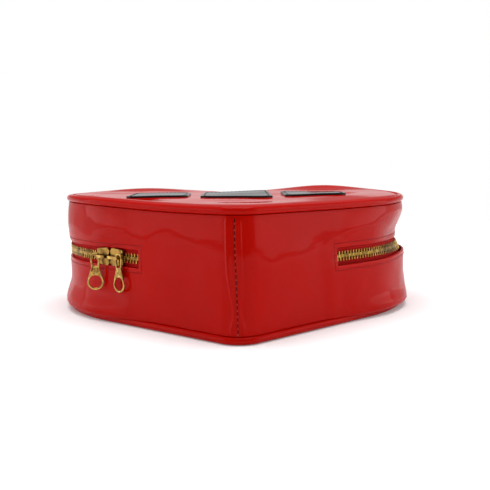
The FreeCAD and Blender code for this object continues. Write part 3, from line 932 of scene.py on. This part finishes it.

# Front piping: the same roll as on the back, sewn between front panel and wall, so it rises with the lobes.
bm = rolled(PIPING_RADIUS, PURSE_HEIGHT - PIPING_RADIUS, 16)
for corner in bm.verts:
    corner.co.z += front_rise(corner.co)
front_welt = finish_piece("front_welt", bm, red_welt)
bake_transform(front_welt)
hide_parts("front_piping", "front_piping_tip")
bm = rolled(CORD_RADIUS, PURSE_HEIGHT - PIPING_RADIUS, 8)
for corner in bm.verts:
    corner.co.z += front_rise(corner.co)
front_welt_cord = finish_piece("front_welt_cord", bm, cotton)
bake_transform(front_welt_cord)
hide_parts("front_piping_cord", "front_piping_cord_tip")

# Patches: three rounded oblongs of black patent leather sewn in a row across the front panel. Their cut
# edges are inked and rolled over a little.
PATCH_FROM_TIP = 0.114
MIDDLE_PATCH = (0.044, 0.066)
SIDE_PATCH = (0.038, 0.050)
PATCH_GAP = 0.008
PATCH_THICKNESS = 0.0011
PATCH_CORNER = 0.007
PATCH_EDGE = 0.0004
PATCH_SEAM = 0.0022
PATCH_PITCH = 0.0027
CORNER_STITCHES = 3
PATCH_QUARTERS = ((1, 1), (-1, 1), (-1, -1), (1, -1))
black_patent = patent_leather("black_patent", (0.016, 0.016, 0.017), (0.008, 0.008, 0.009), 0.3)
black_thread = thread("black_thread", (0.03, 0.03, 0.03))
patch_y = tip_y + PATCH_FROM_TIP
side_x = (MIDDLE_PATCH[0] + SIDE_PATCH[0]) / 2 + PATCH_GAP
for name, x, (width, length) in (
    ("left", -side_x, SIDE_PATCH),
    ("middle", 0, MIDDLE_PATCH),
    ("right", side_x, SIDE_PATCH),
):
    bm = bmesh.new()
    ends = [
        bm.verts.new((x + width / 2 * across, patch_y + length / 2 * along, PURSE_HEIGHT))
        for across, along in PATCH_QUARTERS
    ]
    bmesh.ops.contextual_create(bm, geom=ends)
    bmesh.ops.bevel(
        bm,
        geom=bm.verts[:],
        offset=PATCH_CORNER,
        offset_type="OFFSET",
        segments=8,
        profile=0.5,
        affect="VERTICES",
        material=-1,
    )
    raised = bmesh.ops.extrude_face_region(bm, geom=bm.faces[:])["geom"]
    top = [part for part in raised if isinstance(part, bmesh.types.BMVert)]
    bmesh.ops.translate(bm, verts=top, vec=(0, 0, PATCH_THICKNESS))
    bmesh.ops.recalc_face_normals(bm, faces=bm.faces)
    brim = [edge for edge in bm.edges if all(corner in top for corner in edge.verts)]
    bmesh.ops.bevel(
        bm, geom=brim, offset=PATCH_EDGE, segments=3, profile=0.5, affect="EDGES", material=-1
    )
    cut_into_grid(bm, bm.faces[:])
    for corner in bm.verts:
        corner.co.z += panel_rise(corner.co)
    patch = finish_piece("patent_patch_" + name, bm, black_patent)
    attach(patch, "lid")
    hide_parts("patch_" + name)
    loop = []
    for quarter, (across, along) in enumerate(PATCH_QUARTERS):
        centre_x = x + across * (width / 2 - PATCH_CORNER)
        centre_y = patch_y + along * (length / 2 - PATCH_CORNER)
        for step in range(CORNER_STITCHES + 1):
            angle = math.pi / 2 * (quarter + step / CORNER_STITCHES)
            reach = Vector((math.cos(angle), math.sin(angle), 0)) * (PATCH_CORNER - PATCH_SEAM)
            loop.append(Vector((centre_x, centre_y, 0)) + reach)
    spots = []
    for first, last in zip(loop, loop[1:] + loop[:1]):
        count = round((last - first).length / PATCH_PITCH)
        ends = [first.lerp(last, number / count) for number in range(count + 1)]
        for point in ends:
            point.z = PURSE_HEIGHT + PATCH_THICKNESS + panel_rise(point)
        spots += [(*pair, Vector((0, 0, 1))) for pair in zip(ends, ends[1:])]
    # the marks at the needle holes are painted shade
    seam = stitches("patch_stitches_" + name, spots, FINE_THREAD, black_thread, painted_hole_shade)
    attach(seam, "lid")

# Studio: a wide pale floor, a large soft light overhead, a strip above the camera and a soft panel low on
# either side. What the floor does not fill is white paper, and the camera stands low before the tip.
bm = bmesh.new()
under = Matrix.Translation((0, 0.08, -0.0002))
bmesh.ops.create_grid(bm, x_segments=1, y_segments=1, size=0.7, matrix=under)
white = (1, 1, 1, 1)
matt = {"Base Color": (0.93, 0.93, 0.93, 1), "Roughness": 0.9, "Specular IOR Level": 0}
paper, tree, shader = new_material("studio_paper", {**matt, "Emission Color": white})
path = tree.nodes.new("ShaderNodeLightPath")
direct = add_node(tree, "ShaderNodeMath", {}, operation="MAXIMUM")
direct_or_mirrored = add_node(tree, "ShaderNodeMath", {}, operation="MAXIMUM")
spot = tree.nodes.new("ShaderNodeTexCoord")
reach = add_node(tree, "ShaderNodeVectorMath", {}, operation="LENGTH")
fade = add_node(
    tree, "ShaderNodeMapRange", {"From Min": 0.25, "From Max": 0.65, "To Min": 0.14, "To Max": 0.6}
)
whitening = add_node(tree, "ShaderNodeMath", {}, operation="MULTIPLY")
tree.links.new(path.outputs["Is Camera Ray"], direct.inputs[0])
tree.links.new(path.outputs["Is Transmission Ray"], direct.inputs[1])
tree.links.new(direct.outputs["Value"], direct_or_mirrored.inputs[0])
tree.links.new(path.outputs["Is Glossy Ray"], direct_or_mirrored.inputs[1])
tree.links.new(spot.outputs["Object"], reach.inputs[0])
tree.links.new(reach.outputs["Value"], fade.inputs["Value"])
tree.links.new(direct_or_mirrored.outputs["Value"], whitening.inputs[0])
tree.links.new(fade.outputs["Result"], whitening.inputs[1])
tree.links.new(whitening.outputs["Value"], shader.inputs["Emission Strength"])
floor = finish_piece("studio_floor", bm, paper)


def soft_light(name, place, target, width, depth, power):
    """A large soft box that faces a target."""
    lamp = bpy.data.lights.new(name, "AREA")
    lamp.shape = "RECTANGLE"
    lamp.size = width
    lamp.size_y = depth
    lamp.energy = power
    holder = bpy.data.objects.new(name, lamp)
    holder.location = place
    holder.rotation_euler = (Vector(target) - Vector(place)).to_track_quat("-Z", "Y").to_euler()
    bpy.context.scene.collection.objects.link(holder)


soft_light("overhead", (0, 0.10, 1.5), (0, 0.05, 0), 1.5, 1.2, 22)
soft_light("front_strip", (0, -0.85, 1.05), (0, -0.05, 0.03), 0.9, 0.12, 1.6)
soft_light("left_panel", (-0.9, -0.05, 0.31), (0, -0.05, 0.31), 0.9, 0.6, 2.2)
soft_light("right_panel", (0.9, -0.05, 0.31), (0, -0.05, 0.31), 0.9, 0.6, 2.4)

world = bpy.data.worlds.new("studio")
world.use_nodes = True
tree = world.node_tree
room = tree.nodes["Background"]
room.inputs["Color"].default_value = (0.26, 0.26, 0.27, 1)
seen = add_node(tree, "ShaderNodeBackground", {"Color": white})
mirrored = tree.nodes.new("ShaderNodeBackground")
way = tree.nodes.new("ShaderNodeTexCoord")
compass = tree.nodes.new("ShaderNodeSeparateXYZ")
dim_front = add_node(
    tree, "ShaderNodeMapRange", {"From Min": -0.8, "From Max": 0.2, "To Min": 0.25}
)
dim_high = add_node(
    tree, "ShaderNodeMapRange", {"From Min": 0.10, "From Max": 0.15, "To Min": 1, "To Max": 0.35}
)
dimmed = add_node(tree, "ShaderNodeMath", {}, operation="MULTIPLY")
path = tree.nodes.new("ShaderNodeLightPath")
direct = add_node(tree, "ShaderNodeMath", {}, operation="MAXIMUM")
in_gloss = tree.nodes.new("ShaderNodeMixShader")
in_sight = tree.nodes.new("ShaderNodeMixShader")
tree.links.new(way.outputs["Generated"], compass.inputs["Vector"])
tree.links.new(compass.outputs["Y"], dim_front.inputs["Value"])
tree.links.new(compass.outputs["Z"], dim_high.inputs["Value"])
tree.links.new(dim_front.outputs["Result"], dimmed.inputs[0])
tree.links.new(dim_high.outputs["Result"], dimmed.inputs[1])
tree.links.new(dimmed.outputs["Value"], mirrored.inputs["Color"])
tree.links.new(path.outputs["Is Glossy Ray"], in_gloss.inputs["Fac"])
tree.links.new(room.outputs["Background"], in_gloss.inputs[1])
tree.links.new(mirrored.outputs["Background"], in_gloss.inputs[2])
tree.links.new(path.outputs["Is Camera Ray"], direct.inputs[0])
tree.links.new(path.outputs["Is Transmission Ray"], direct.inputs[1])
tree.links.new(direct.outputs["Value"], in_sight.inputs["Fac"])
tree.links.new(in_gloss.outputs["Shader"], in_sight.inputs[1])
tree.links.new(seen.outputs["Background"], in_sight.inputs[2])
tree.links.new(in_sight.outputs["Shader"], tree.nodes["World Output"].inputs["Surface"])
bpy.context.scene.world = world
bpy.context.scene.view_settings.view_transform = "Standard"

CAMERA_TURN = math.radians(-1.27)
CAMERA_DOWN = math.radians(5.44)
CAMERA_ROLL = math.radians(-0.6)
camera = bpy.data.objects.new("camera", bpy.data.cameras.new("camera"))
camera.data.lens = 52.75
camera.data.sensor_width = 36
camera.location = (-0.0049, -0.4516, 0.0835)
look = Matrix.Rotation(CAMERA_TURN, 4, "Z") @ Matrix.Rotation(math.pi / 2 - CAMERA_DOWN, 4, "X")
camera.rotation_euler = (look @ Matrix.Rotation(CAMERA_ROLL, 4, "Z")).to_euler()
bpy.context.scene.collection.objects.link(camera)
bpy.context.scene.camera = camera
